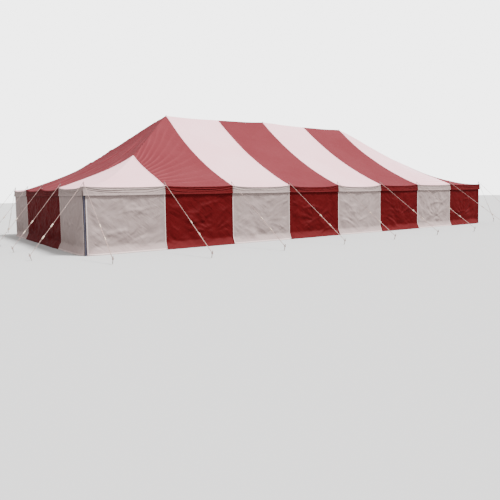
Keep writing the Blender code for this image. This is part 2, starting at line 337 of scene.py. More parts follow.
DUST_PALE = srgb(112, 96, 88)
DUST_DARK = srgb(46, 20, 18)
ROOF_DUST = srgb(200, 158, 160)
# Painted light: paler colours for the foot of the walls, standing in for the floor's bounced light.
PAINTED_BOUNCE_PALE = srgb(200, 168, 168)
PAINTED_BOUNCE_RED = srgb(96, 32, 34)
# Painted light and shade: the roof's colours are painted paler, as if lit by the sky, and the walls'
# colours, which the valance also takes, are painted darker, as if in shade, than the cloth's own colour.
SKY_LIT_WHITE, FADED_SKY_LIT_WHITE = srgb(241, 187, 194), srgb(248, 200, 206)
SKY_LIT_RED, FADED_SKY_LIT_RED = srgb(105, 45, 50), srgb(112, 52, 57)
SHADED_WALL_WHITE, FADED_SHADED_WALL_WHITE = srgb(135, 120, 117), srgb(145, 130, 127)
SHADED_WALL_RED, FADED_SHADED_WALL_RED = srgb(71, 11, 13), srgb(78, 14, 16)
HEM, FADED_HEM = srgb(180, 165, 161), srgb(190, 174, 170)
CLOTH_LOOKS = {
    "roof_white": (SKY_LIT_WHITE, FADED_SKY_LIT_WHITE, ROOF_DUST, SKY_LIT_WHITE, 0.50, 0.08, 0.12, 0.008),
    "roof_red": (SKY_LIT_RED, FADED_SKY_LIT_RED, srgb(78, 26, 30), SKY_LIT_RED, 0.55, 0.0, 0.02, 0.010),
    "wall_white": (SHADED_WALL_WHITE, FADED_SHADED_WALL_WHITE, DUST_PALE, PAINTED_BOUNCE_PALE, 0.65, 0.0, 0.06, 0.035),
    "wall_red": (SHADED_WALL_RED, FADED_SHADED_WALL_RED, DUST_DARK, PAINTED_BOUNCE_RED, 0.60, 0.0, 0.02, 0.035),
    "white_hem": (HEM, FADED_HEM, DUST_PALE, PAINTED_BOUNCE_PALE, 0.65, 0.0, 0.06, 0.004),
}
FINISHES = {name: cloth_finish(f"{name}_canvas", *values) for name, values in CLOTH_LOOKS.items()}
print("cloth finishes:", ", ".join(FINISHES))

# %% [markdown]
# ## Rope, wood and steel
#
# The guy ropes are laid rope, three strands twisted together, with a soft fuzz.
# The sliders on them are turned wood. Side poles are painted steel tubes, dark and
# a little scuffed, and the pegs and eyelets are galvanised.

# %% Hard finishes
def rope_finish(name, colour, dark):
    finish = Finish(name)
    place = finish.place()
    fibres = finish.noise(finish.stretched(place, (1.0, 1.0, 0.4)), 420.0, 3.0)
    soil = finish.noise(place, 3.0, 4.0).clipped(0.45, 0.75)
    base = finish.mix(fibres * 0.35, colour, dark)
    base = finish.mix(soil * 0.25, base, dark)
    normal = finish.bump(fibres, 0.0008, 0.6)
    return finish.surface(Base_Color=base, Roughness=0.85, Sheen_Weight=0.2, Normal=normal)


def wood_finish(name, colour, dark):
    finish = Finish(name)
    place = finish.place()
    grain = finish.noise(finish.stretched(place, (60.0, 60.0, 9.0)), 2.0, 5.0, 0.6)
    base = finish.mix(grain.clipped(0.35, 0.7), colour, dark)
    normal = finish.bump(grain, 0.0006, 0.5)
    return finish.surface(Base_Color=base, Roughness=grain * 0.2 + 0.5, Normal=normal)


def metal_finish(name, colour, scuffed, metallic, roughness):
    finish = Finish(name)
    place = finish.place()
    scuffs = finish.noise(finish.stretched(place, (30.0, 30.0, 3.0)), 1.5, 6.0, 0.7).clipped(0.58, 0.72)
    cloudy = finish.noise(place, 12.0, 4.0)
    base = finish.mix(cloudy * 0.3, colour, scuffed)
    base = finish.mix(scuffs * 0.5, base, scuffed)
    normal = finish.bump(cloudy, 0.0005, 0.3)
    return finish.surface(
        Base_Color=base,
        Metallic=metallic,
        Roughness=scuffs * 0.15 + cloudy * 0.1 + roughness,
        Normal=normal,
    )


FINISHES["guy_rope"] = rope_finish("laid_rope", srgb(170, 143, 135), srgb(112, 86, 78))
FINISHES["slider"] = wood_finish("turned_wood", srgb(224, 206, 190), srgb(176, 146, 120))
FINISHES["side_pole"] = metal_finish("painted_pole", srgb(48, 44, 58), srgb(84, 80, 96), 0.2, 0.42)
FINISHES["centre_pole"] = metal_finish(
    "centre_pole_tube", srgb(128, 128, 132), srgb(168, 168, 170), 0.7, 0.35
)
FINISHES["peg_steel"] = metal_finish("galvanised", srgb(168, 160, 156), srgb(206, 198, 194), 0.6, 0.45)
print("finishes:", ", ".join(FINISHES))

# %% [markdown]
# ## Making a piece
#
# Every new piece is finished in the same way: its mesh becomes an object at the
# origin, it takes the finish of one of the record's slots, and it rides on the
# tent's only body.

# %% Piece helper
FOLD_SLOPE_FULL = 0.45


def piece(name, mesh_in_work, slot, finish=None):
    """Turns a bmesh into a finished piece of the tent."""
    mesh = bpy.data.meshes.new(name)
    mesh_in_work.to_mesh(mesh)
    mesh_in_work.free()
    mesh.materials.append(FINISHES[finish or slot])
    mesh.shade_smooth()
    made = bpy.data.objects.new(name, mesh)
    bpy.context.scene.collection.objects.link(made)
    return made


def give_thickness(made, thickness, offset=-1.0):
    solid = made.modifiers.new("thickness", "SOLIDIFY")
    solid.thickness = thickness
    solid.offset = offset


def add_patch(bm, low, high, columns, rows):
    """A flat rectangle between two corners, cut into a grid."""
    (x0, y0), (x1, y1) = low, high
    centre = Matrix.Translation(((x0 + x1) / 2, (y0 + y1) / 2, 0))
    size = Matrix.Diagonal(((x1 - x0) / 2, (y1 - y0) / 2, 1, 1))
    bmesh.ops.create_grid(bm, x_segments=columns, y_segments=rows, size=1, matrix=centre @ size)


def keep_flat_places(bm, shift=0.0):
    """Writes each corner's flat place, in metres, to the cloth's UV map. The shift
    keeps neighbouring pieces from showing the same creases."""
    layer = bm.loops.layers.uv.new("cloth")
    for face in bm.faces:
        for loop in face.loops:
            loop[layer].uv = loop.vert.co.x + shift, loop.vert.co.y


def face_outwards(bm, outward):
    """Turns an open sheet so that its faces look towards a direction."""
    bmesh.ops.recalc_face_normals(bm, faces=bm.faces[:])
    if sum((face.normal for face in bm.faces), Vector()).dot(outward) < 0:
        bmesh.ops.reverse_faces(bm, faces=bm.faces[:])


def shade_folds(bm):
    """Keeps how far each point of an upright cloth faces up, which its finish turns into painted light where
    the cloth faces up and painted shade where it faces down.
    """
    ridge = bm.verts.layers.float.new("ridge")
    bm.normal_update()
    for vert in bm.verts:
        vert[ridge] = vert.normal.z / FOLD_SLOPE_FULL
    return ridge


def join_to(bm, part):
    """Adds a finished part to a piece that is made of several."""
    mesh = bpy.data.meshes.new("part")
    part.to_mesh(mesh)
    part.free()
    bm.from_mesh(mesh)
    bpy.data.meshes.remove(mesh)


def smoothstep(low, high, value):
    share = min(1, max(0, (value - low) / (high - low)))
    return share * share * (3 - 2 * share)


print("piece helpers ready")

# %% [markdown]
# ## The shape of the roof
#
# Cloth under tension hangs in hollow curves. From eave to ridge the slope starts
# flat and ends steep, and the hips, which carry no side poles, dip the most. Along
# the eave the edge drops away beside each side pole and then runs nearly level.
#
# On top of these lie the small creases: fans that run out from each spike, and the
# long slanting ones that the corner pole pulls into the red hip ends.

# %% Roof height
SIDE_SLOPE_DIP = 0.38
END_SLOPE_DIP = 0.45
HIP_DIP = 0.95
HIP_DIP_POWER_LEFT = 1.8
HIP_DIP_POWER_RIGHT = 1.5
HIP_REACH = 2.5
EAVE_SAG = 0.06
EAVE_SAG_CHANGE = 0.03
EAVE_SAG_FADE = 6
RIDGE_SAG = 0.045
BELLY_SAG = 0.03

EAVE_FAN_DEPTH = 0.008
EAVE_FAN_REACH = 0.55
CORNER_FAN_DEPTH = 0.070
CORNER_FAN_REACH = 1.2
CORNER_FAN_CURVE = 1.4
CORNER_FAN_COUNT = 13
HIP_FAN_DEPTH = 0.06
HIP_FAN_COUNT = 44
PEAK_FAN_DEPTH = 0.006
PEAK_FAN_REACH = 0.8


def bow(share):
    """0 at both ends of a span and 1 along its middle: cloth drops away quickly
    beside what holds it, then runs nearly level."""
    share = share - math.floor(share)
    return 1 - abs(2 * share - 1) ** 3


def slope(rise, off_hip, hip_power, slope_dip):
    """The height of a slope as a share of the peak's, for a rise of 0 at the eave
    and 1 at the ridge. The cloth dips more along the hips than between them."""
    on_hip = rise - HIP_DIP * rise * (1 - rise) ** hip_power
    on_slope = rise - slope_dip * rise * (1 - rise)
    return on_slope + (on_hip - on_slope) * (1 - min(1, off_hip / HIP_REACH)) ** 2


def eave_sag(along):
    """How far the eave sags in a bay. The ropes of some bays pull harder."""
    return EAVE_SAG - EAVE_SAG_CHANGE * math.cos(math.pi * (math.floor(along / BAY) + 4) / 3 - 0.5)


def roof_sweep(x, y):
    """The roof's outer face without its creases."""
    from_end, from_side = EDGE_X - abs(x), EDGE_Y - abs(y)
    rise = min(from_end, from_side) / EDGE_Y
    along = x if from_side <= from_end else y
    hip_power = HIP_DIP_POWER_LEFT if x < 0 else HIP_DIP_POWER_RIGHT
    slope_dip = SIDE_SLOPE_DIP if from_side <= from_end else END_SLOPE_DIP
    share = slope(rise, abs(from_end - from_side), hip_power, slope_dip)
    height = EAVE_HEIGHT + (PEAK_HEIGHT - EAVE_HEIGHT) * share
    bay_bow = bow(along / BAY)
    height -= eave_sag(along) * bay_bow * (1 - rise) ** EAVE_SAG_FADE
    height -= BELLY_SAG * bay_bow * 4 * rise * (1 - rise)
    if abs(x) < RIDGE_END:
        height -= RIDGE_SAG * bow(x / RIDGE_END) * rise**3
        height += MIDDLE_PEAK_RISE * (1 - abs(x) / RIDGE_END) * rise
    return height


def fan(dx, dy, count, phase=0.0):
    """A wave that runs round a point, for creases which run straight out from it."""
    return math.cos(count * math.atan2(dy, dx) + phase)


def corner_creases(x, y):
    """The long creases that the corner pole pulls into the hip beside it. On the
    long slope they soon fade, and on the end slope they run up to the peak."""
    along, out = HALF_LENGTH - abs(x), HALF_WIDTH - abs(y)
    past_seam = max(along, out) - BAY
    if past_seam < 0 or abs(x) < RIDGE_END:
        return 0.0
    from_hip = along - out
    wander = noise.noise(Vector((x * 0.8, y * 0.8, 3.0)))
    if from_hip > 0:
        way = (out / BAY) / (along / BAY) ** CORNER_FAN_CURVE
        wave = 0.5 + 0.5 * math.cos(CORNER_FAN_COUNT * math.tau * way + 2.5 * wander)
        depth = CORNER_FAN_DEPTH * math.exp(-past_seam / CORNER_FAN_REACH) * (wave**2 - 0.35)
    else:
        from_peak = abs(x) - RIDGE_END
        uneven_share = noise.noise(Vector((6 * math.atan2(y, from_peak), past_seam * 0.3, x)))
        depth = HIP_FAN_DEPTH * fan(from_peak, abs(y), HIP_FAN_COUNT, 3 * wander) * abs(uneven_share)
    depth *= smoothstep(0, 0.12, past_seam) * smoothstep(BAY * 3, BAY, abs(from_hip))
    return depth * (0.5 + abs(wander))


def eave_creases(x, y):
    """Short creases that run up the slope from the nearest side pole."""
    from_end, from_side = HALF_LENGTH - abs(x), HALF_WIDTH - abs(y)
    if from_side <= from_end:
        dx, dy = x - BAY * round(x / BAY), from_side
    else:
        dx, dy = y - BAY * round(y / BAY), from_end
    distance = math.hypot(dx, dy)
    strength = smoothstep(0.05, 0.2, distance) * math.exp(-distance / EAVE_FAN_REACH)
    return EAVE_FAN_DEPTH * strength * fan(dx, dy, 15, x * 0.7)


def peak_creases(x, y):
    """Short creases that run down from each centre pole."""
    nearest = min((-RIDGE_END, 0.0, RIDGE_END), key=lambda place: abs(x - place))
    distance = math.hypot(x - nearest, y)
    strength = smoothstep(0.08, 0.4, distance) * math.exp(-distance / PEAK_FAN_REACH)
    return PEAK_FAN_DEPTH * strength * fan(x - nearest, y, 18)


def seam_puckers(x, y):
    """Small gathers along the seams between the stripes."""
    off_seam = abs(x - BAY * round(x / BAY))
    return 0.0022 * math.exp(-off_seam / 0.06) * math.cos(y * 48 + 2 * math.sin(y * 3.1 + x))


def uneven(x, y):
    """Soft waves with no pattern, from how the cloth was cut and packed."""
    broad = noise.noise(Vector((x * 0.7, y * 0.7, 0.0)))
    fine = noise.noise(Vector((x * 2.3, y * 2.3, 9.0)))
    return 0.012 * broad + 0.004 * fine


def roof_creases(x, y):
    """All creases together, which die out towards the edge of the roof."""
    inside = min(EDGE_X - abs(x), EDGE_Y - abs(y))
    small = corner_creases(x, y) + eave_creases(x, y) + peak_creases(x, y)
    return smoothstep(0.0, 0.35, inside) * small


def roof_height(x, y):
    inside = min(EDGE_X - abs(x), EDGE_Y - abs(y))
    soft = smoothstep(0.0, 0.35, inside) * (seam_puckers(x, y) + uneven(x, y))
    return roof_sweep(x, y) + roof_creases(x, y) + soft


print("height of a hip's middle:", round(roof_height(-7.5, -2.5), 3))

# %% [markdown]
# ## Roof panels
#
# Each coloured panel is a flat grid cut along the hips, so that the crease there
# stays sharp, and then every point is lifted to the height above. Its flat place is
# kept as a UV map called cloth, which the weave reads. A grid of about 5 cm shows
# the creases and stays light enough for ten large panels.

# %% Roof panels
ROOF_CELLS = 48
CLOTH = 0.002
RIDGE_FULL = 0.02


def block_edges(index, count, edge):
    """The two sides of one bay in plan; the outer bays reach the eave."""
    low = (index - count / 2) * BAY
    high = low + BAY
    return (-edge if index == 0 else low), (edge if index == count - 1 else high)


def add_block(bm, i, j):
    x0, x1 = block_edges(i, SIDE_BAYS, EDGE_X)
    y0, y1 = block_edges(j, END_BAYS, EDGE_Y)
    add_patch(bm, (x0, y0), (x1, y1), ROOF_CELLS, ROOF_CELLS)


def crease_along_hips(bm):
    for side_x in (-1, 1):
        for side_y in (-1, 1):
            bmesh.ops.bisect_plane(
                bm,
                geom=bm.verts[:] + bm.edges[:] + bm.faces[:],
                dist=1e-5,
                plane_co=(side_x * RIDGE_END, 0, 0),
                plane_no=(side_x, -side_y, 0),
            )


def roof_panel(name, blocks, slot):
    bm = bmesh.new()
    for i, j in blocks:
        add_block(bm, i, j)
    bmesh.ops.remove_doubles(bm, verts=bm.verts[:], dist=1e-4)
    crease_along_hips(bm)
    keep_flat_places(bm)
    # Painted light and shade: the ridge attribute keeps how high each point's small creases stand, so the
    # finish paints their crests paler and their hollows darker.
    ridge = bm.verts.layers.float.new("ridge")
    for vert in bm.verts:
        vert[ridge] = roof_creases(vert.co.x, vert.co.y) / RIDGE_FULL
        vert.co.z = roof_height(vert.co.x, vert.co.y)
    area = sum(face.calc_area() for face in bm.faces)
    made = piece(name, bm, slot)
    made.data.set_sharp_from_angle(angle=math.radians(50))
    give_thickness(made, CLOTH)
    return made, area


def stripe(index):
    return "red" if index % 2 else "white"


LAST = SIDE_BAYS - 1
ACROSS = range(END_BAYS)
CORNER_BLOCKS = {
    "corner_front_left": (0, 0),
    "corner_back_left": (0, END_BAYS - 1),
    "corner_front_right": (LAST, 0),
    "corner_back_right": (LAST, END_BAYS - 1),
}
PANELS = {name: ([block], stripe(block[0])) for name, block in CORNER_BLOCKS.items()}
for name, inner, outer in (("left_end", 1, 0), ("right_end", LAST - 1, LAST)):
    blocks = [(i, j) for i in (inner, outer) for j in ACROSS if (i, j) not in CORNER_BLOCKS.values()]
    PANELS[name] = (blocks, stripe(inner))
for index in range(2, SIDE_BAYS - 2):
    PANELS[f"strip_{index + 1}"] = ([(index, j) for j in ACROSS], stripe(index))

roof_pieces = {}
for name, (blocks, colour) in PANELS.items():
    made, area = roof_panel(f"cloth_roof_{name}", blocks, f"roof_{colour}")
    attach(made, "root")
    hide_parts(f"roof_{name}")
    low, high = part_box(f"roof_{name}")
    width = round(high[0] - low[0], 2)
    length = round(area / width, 2) if name.startswith(("strip", "corner")) else 11.9
    round(min(area, width * 1.05 * length), 2)
    roof_pieces[name] = made
    print(made.name, "has", round(area, 1), "square metres of cloth")

# %% [markdown]
# ## Seams
#
# Where two stripes meet, one edge is folded over the other and sewn down twice, so
# a raised band a few centimetres wide runs along every join. The band is a narrow
# grid laid along the line, lifted to the roof's height and a little above it.

# %% Seams along the stripes
SEAM_WIDTH = 0.045
SEAM_LIFT = 0.003
SEAM_STEP = 0.05


def laid_strip(start, end, width, lift, steps_across=2):
    """A narrow strip of cloth laid on the roof between two plan points."""
    start, end = Vector(start), Vector(end)
    way = end - start
    steps = max(2, round(way.length / SEAM_STEP))
    bm = bmesh.new()
    bmesh.ops.create_grid(bm, x_segments=steps, y_segments=steps_across, size=0.5)
    bmesh.ops.scale(bm, vec=(way.length, width, 1), verts=bm.verts[:])
    keep_flat_places(bm)
    turn = Matrix.Rotation(math.atan2(way.y, way.x), 4, "Z")
    centre = Matrix.Translation((*((start + end) / 2), 0))
    bmesh.ops.transform(bm, matrix=centre @ turn, verts=bm.verts[:])
    for vert in bm.verts:
        vert.co.z = roof_height(vert.co.x, vert.co.y) + lift
    return bm


def inner_places(count):
    """The joins between the bays, from one side to the other."""
    return [(index - count / 2) * BAY for index in range(1, count)]


def seam_lines():
    """(name, start, end, colour) of every seam between stripes."""
    near = EDGE_Y - 0.01
    for number, x in enumerate(inner_places(SIDE_BAYS), start=1):
        outer = abs(x) > RIDGE_END + 0.1
        for side, sign in (("front", -1), ("back", 1)):
            inner = RIDGE_END / 2 if outer else 0.0
            yield f"seam_{side}_{number}", (x, sign * near), (x, sign * inner)
    for side, sign in (("left", -1), ("right", 1)):
        for row, y in (("front", -BAY), ("back", BAY)):
            yield f"seam_{side}_{row}", (sign * (EDGE_X - 0.01), y), (sign * (RIDGE_END + BAY), y)


for name, start, end in seam_lines():
    made = piece(name, laid_strip(start, end, SEAM_WIDTH, SEAM_LIFT), "roof_white")
    give_thickness(made, 0.0015)
    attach(made, "root")
print("laid", len(list(seam_lines())), "seams")

# %% [markdown]
# ## Valance
#
# The roof's edge is rolled round a rope and sewn, and below it hangs a strip of
# cloth that covers the tops of the walls. It is a grid whose upper edge follows the
# eave and whose lower edge is nearly straight, with a bulge for the roll,
# two shallow creases that swing from pole to pole, and a hem.

# %% Valance strips
VALANCE_BOTTOM = 1.735
VALANCE_SAG = 0.01
VALANCE_CELLS = 48
VALANCE_ROWS = 34
ROLL_SHARE = 0.10
ROLL_RADIUS = 0.014
SWING_DEPTH = 0.013
VALANCE_FLARE = 0.026


def eave_line(along, on_side):
    """The height of the roof's edge, at a distance along a side or an end."""
    inside = 0.002
    if on_side:
        return roof_height(along, EDGE_Y - inside)
    return roof_height(EDGE_X - inside, along)


def swing(share, along, level, droop, seed):
    """One crease of the valance, which hangs from pole to pole: a swell with a tuck
    below it."""
    strength = 0.7 + 1.2 * noise.noise(Vector((along * 0.9, seed, level * 9)))
    wander = 0.16 * noise.noise(Vector((along * 0.8, seed, level)))
    below = share - level - droop * bow(along / BAY) - wander
    return strength * (math.exp(-(((below + 0.11) / 0.06) ** 2)) - math.exp(-((below / 0.045) ** 2)))


def valance_profile(share, along, seed):
    """How far the valance stands out, for a share of 0 at the top and 1 at the hem."""
    roll = math.sin(math.pi * min(1, share / ROLL_SHARE)) ** 0.7 if share < ROLL_SHARE else 0.0
    creases = swing(share, along, 0.10, 0.32, seed) + 0.7 * swing(share, along, 0.34, 0.38, seed + 5)
    ripple = noise.noise(Vector((along * 2.1, share * 0.8, seed)))
    off_pole = abs(along / BAY - round(along / BAY)) * BAY
    gather = math.cos(along * 50 + share * 3) * math.exp(-off_pole / 0.22) * share
    hem = 0.003 if share > 0.88 else 0.0
    out = ROLL_RADIUS * roll + SWING_DEPTH * creases * smoothstep(0, 0.15, share) * smoothstep(1, 0.8, share)
    out += share * 0.010 * ripple + VALANCE_FLARE * share**2 + 0.004 * gather + hem
    return max(out, -0.012)


def valance(name, start, end, on_side, sign, slot, seed, roof):
    """A strip of valance from start to end along one side or end of the tent."""
    cells = round((end - start) / BAY * VALANCE_CELLS)
    drop = EAVE_HEIGHT - VALANCE_BOTTOM
    bm = bmesh.new()
    add_patch(bm, (start, -drop), (end, 0), cells, VALANCE_ROWS)
    keep_flat_places(bm, seed)
    edge = EDGE_Y if on_side else EDGE_X
    for vert in bm.verts:
        along, share = vert.co.x, -vert.co.y / drop
        top = eave_line(along, on_side)
        bottom = VALANCE_BOTTOM - VALANCE_SAG * bow(along / BAY)
        out = sign * (edge + valance_profile(share, along, seed))
        height = top + (bottom - top) * share
        vert.co = (along, out, height) if on_side else (out, along, height)
    face_outwards(bm, Vector((0, sign, 0)) if on_side else Vector((sign, 0, 0)))
    shade_folds(bm)
    area = sum(face.calc_area() for face in bm.faces)
    made = piece(name, bm, slot)
    give_thickness(made, CLOTH)
    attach(made, "root")
    width = round(end - start, 3)
    round(area / width, 3)
    return made


def roof_over(i, j):
    """The roof piece that holds the valance of one bay."""
    return next(roof_pieces[name] for name, (blocks, _) in PANELS.items() if (i, j) in blocks)


valance_pieces = {}
for index in range(SIDE_BAYS):
    x0, x1 = block_edges(index, SIDE_BAYS, EDGE_X)
    for side, sign, row in (("front", -1, 0), ("back", 1, END_BAYS - 1)):
        name = f"valance_{side}_{index + 1}"
        # The valance takes the walls' darker colours, a painted shade for upright cloth lit from above.
        slot = f"wall_{stripe(index)}"
        seed = index * 3.1 + sign
        valance_pieces[name] = valance(name, x0, x1, True, sign, slot, seed, roof_over(index, row))
for side, sign, outer, inner in (("left", -1, 0, 1), ("right", 1, LAST, LAST - 1)):
    spans = (
        ("front", -EDGE_Y, -BAY, outer, 0),
        ("middle", -BAY, BAY, inner, 1),
        ("back", BAY, EDGE_Y, outer, END_BAYS - 1),
    )
    for place, y0, y1, owner, row in spans:
        name = f"valance_{side}_{place}"
        # The valance takes the walls' darker colours, a painted shade for upright cloth lit from above.
        slot = f"wall_{stripe(owner)}"
        seed = y0 + sign * 7
        valance_pieces[name] = valance(name, y0, y1, False, sign, slot, seed, roof_over(outer, row))
print("hung", len(valance_pieces), "strips of valance")

# %% [markdown]
# ## Wall curtains
#
# A wall hangs from the eave, is pegged at its foot and laced to its neighbours, so
# its slack falls in swags that swing low between the posts. Real folds are hard to
# draw but easy to drape. A flat sheet is held along its edges, which are pulled a
# little closer together than it was cut, and its own weight does the rest. Blender's
# cloth does that through two shape keys: one says how the sheet was cut, the other
# how it is held. A few sheets are draped, and each wall uses one of them, some
# turned over.

# %% Drape a few sheets of cloth
DRAPE_STEP = 0.04
WALL_FLAP_HEIGHT = 0.24
WALL_FLAP_SPREAD = 0.12
FLAP_LENGTH = math.hypot(WALL_FLAP_HEIGHT, WALL_FLAP_SPREAD)
WALL_DROP = WALL_TOP - WALL_FLAP_HEIGHT + FLAP_LENGTH
DRAPE_COLUMNS = round(BAY / DRAPE_STEP)
DRAPE_ROWS = round(WALL_DROP / DRAPE_STEP)
DRAPE_KINDS = 6
DRAPE_FRAMES = 30
BILLOW_REACH = 5
BILLOW_SHARE = 0.8

CREASE_STEP = 0.02
CREASE_COLUMNS = round(BAY / CREASE_STEP)
CREASE_ROWS = round(WALL_DROP / CREASE_STEP)
CREASE_KINDS = 6
CREASE_COUNT = 56
CREASE_LONG_COUNT = 8


def hold_edges(sheet, flat_places):
    """Pins every edge of the sheet."""
    held = sheet.vertex_groups.new(name="held")
    for index, place in enumerate(flat_places):
        if abs(place.z) > WALL_DROP / 2 - 0.01 or abs(place.x) > BAY / 2 - 0.01:
            held.add([index], 1.0, "REPLACE")


def slacken(sheet, flat_places, seed):
    """Moves the sheet from its cut shape to where it is held, and keeps both."""
    chance = random.Random(seed)
    slack = chance.uniform(0.02, 0.05)
    squeeze = chance.uniform(0.0, 0.02)
    sag = chance.uniform(0.09, 0.16)
    lean = chance.uniform(-0.06, 0.06)
    cut = sheet.shape_key_add(name="cut")
    held = sheet.shape_key_add(name="held")
    for point, place in zip(held.data, flat_places):
        up = place.z / WALL_DROP + 0.5
        dip = sag * up * (1 - (2 * place.x / BAY) ** 2)
        wave = 0.05 * noise.noise(Vector((place.x * 2.4, place.z * 2.4, seed * 7.7)))
        height = (up - 0.5) * WALL_DROP * (1 - slack) - dip
        point.co = (place.x * (1 - squeeze) + lean * (up - 0.5), wave, height)
    held.value = 1.0
    return cut


def weigh(sheet, cut):
    """Gives the sheet its weight, stiffness and damping."""
    cloth = sheet.modifiers.new("cloth", "CLOTH")
    cloth.collision_settings.use_collision = False
    cloth.point_cache.frame_start = 1
    cloth.point_cache.frame_end = DRAPE_FRAMES
    settings = cloth.settings
    settings.vertex_group_mass = "held"
    settings.rest_shape_key = cut
    settings.quality = 5
    settings.mass = 0.5
    settings.tension_stiffness = 80
    settings.compression_stiffness = 80
    settings.shear_stiffness = 40
    settings.bending_stiffness = 0.05
    settings.tension_damping = 10
    settings.compression_damping = 10
    settings.shear_damping = 10
    settings.bending_damping = 1
    settings.air_damping = 4
    settings.effector_weights.gravity = 0.13


def drape(seed):
    """The depth of the folds at each point of a sheet that was hung with some slack,
    as a list of rows from the top down."""
    bm = bmesh.new()
    half = (BAY / 2, WALL_DROP / 2)
    add_patch(bm, (-half[0], -half[1]), half, DRAPE_COLUMNS, DRAPE_ROWS)
    bmesh.ops.rotate(bm, matrix=Matrix.Rotation(math.pi / 2, 3, "X"), verts=bm.verts[:])
    flat_places = [vert.co.copy() for vert in bm.verts]
    mesh = bpy.data.meshes.new("draped_sheet")
    bm.to_mesh(mesh)
    bm.free()
    sheet = bpy.data.objects.new("draped_sheet", mesh)
    scene = bpy.context.scene
    scene.collection.objects.link(sheet)
    hold_edges(sheet, flat_places)
    weigh(sheet, slacken(sheet, flat_places, seed))
    for frame_number in range(1, DRAPE_FRAMES + 1):
        scene.frame_set(frame_number)
    draped = sheet.evaluated_get(bpy.context.evaluated_depsgraph_get()).data
    rows = [[0.0] * (DRAPE_COLUMNS + 1) for _ in range(DRAPE_ROWS + 1)]
    for vert, place in zip(draped.vertices, flat_places):
        column = round((place.x / BAY + 0.5) * DRAPE_COLUMNS)
        row = round((0.5 - place.z / WALL_DROP) * DRAPE_ROWS)
        rows[row][column] = -vert.co.y
    bpy.data.objects.remove(sheet)
    scene.frame_set(1)
    return rows


def smoothed(values, reach):
    """Each value's mean with its neighbours."""
    means = []
    for index in range(len(values)):
        near = values[max(0, index - reach) : index + reach + 1]
        means.append(sum(near) / len(near))
    return means


def crisp(rows):
    """The folds without the broad billows that they lie on."""
    across = [smoothed(row, BILLOW_REACH) for row in rows]
    down = zip(*[smoothed(column, BILLOW_REACH) for column in zip(*across)])
    return [
        [value - BILLOW_SHARE * mean for value, mean in zip(row, means)]
        for row, means in zip(rows, down)
    ]


drapes = [crisp(drape(seed)) for seed in range(DRAPE_KINDS)]
depths = [value for rows in drapes for row in rows for value in row]


def add_crease(rows, place, run, drop, sizes):
    """Adds one bent crease to the grid, given its middle, its direction as so far
    across and so far down, and its half length, half width and height."""
    half_length, half_width, height = sizes
    size = math.hypot(run, drop)
    run, drop = run / size, drop / size
    reach = 2 * half_length
    first_column = max(0, int((place[0] - reach) / CREASE_STEP))
    last_column = min(CREASE_COLUMNS, int((place[0] + reach) / CREASE_STEP))
    first_row = max(0, int((place[1] - reach) / CREASE_STEP))
    last_row = min(CREASE_ROWS, int((place[1] + reach) / CREASE_STEP))
    for row in range(first_row, last_row + 1):
        down = row * CREASE_STEP - place[1]
        for column in range(first_column, last_column + 1):
            across = column * CREASE_STEP - place[0]
            length_way = across * run + down * drop
            width_way = down * run - across * drop - 0.35 * length_way**2
            fade = (length_way / half_length) ** 2 + (width_way / half_width) ** 2
            if fade < 6:
                rows[row][column] += height * math.exp(-fade)


def crease_grid(seed):
    """Short creases all over a wall: they sag towards its middle in its upper part
    and slant one way in its lower part, and four long ones cross them."""
    chance = random.Random(100 + seed)
    rows = [[0.0] * (CREASE_COLUMNS + 1) for _ in range(CREASE_ROWS + 1)]
    middle_across = BAY * chance.uniform(0.4, 0.6)
    slant = chance.uniform(0.35, 0.65)
    for index in range(CREASE_COUNT):
        across, down = chance.uniform(0, BAY), WALL_DROP * chance.uniform(0.08, 0.97)
        towards = (middle_across - across) / BAY
        lower = smoothstep(0.45, 0.75, down / WALL_DROP)
        drop = 1.6 * towards * (1 - lower) - slant * lower + chance.uniform(-0.2, 0.2)
        if index < CREASE_LONG_COUNT:
            sizes = chance.uniform(0.35, 0.60), chance.uniform(0.028, 0.045), 0.017
        else:
            sizes = chance.uniform(0.10, 0.28), chance.uniform(0.015, 0.028), 0.010
        add_crease(rows, (across, down), 1.0, drop, sizes)
    return rows


crease_grids = [crease_grid(seed) for seed in range(CREASE_KINDS)]
print("draped", len(drapes), "sheets, folds from", round(min(depths), 3), "to", round(max(depths), 3))

# %% [markdown]
# The folds of a draped sheet are read back at any point by blending its four nearest ones, and a wall two
# bays wide reads two sheets side by side. To these come the sharper creases that lacing pulls: a few that
# run out from each top corner, and a burst of them that meets low in the middle. Both sides and the foot are
# folded over into a hem, which is a narrow second layer that follows the same folds.

# %% Where a curtain's cloth hangs
CORNER_GAP = 0.03
WALL_FACE = 0.0258
FOLD_DEPTH = 1.4
BURST_DEPTH = 0.022
BURST_REACH = 0.75
CORNER_PULL_DEPTH = 0.014
CORNER_PULL_REACH = 0.30
CORNER_TAPER = 0.45


def read_grid(rows, across, down, turned):
    """The depth of the folds at shares across and down a sheet."""
    if turned:
        across = 1 - across
    last_column, last_row = len(rows[0]) - 1, len(rows) - 1
    column = min(max(across, 0), 1) * last_column
    row = min(max(down, 0), 1) * last_row
    c, r = min(int(column), last_column - 1), min(int(row), last_row - 1)
    u, v = column - c, row - r
    upper = rows[r][c] * (1 - u) + rows[r][c + 1] * u
    lower = rows[r + 1][c] * (1 - u) + rows[r + 1][c + 1] * u
    return upper * (1 - v) + lower * v


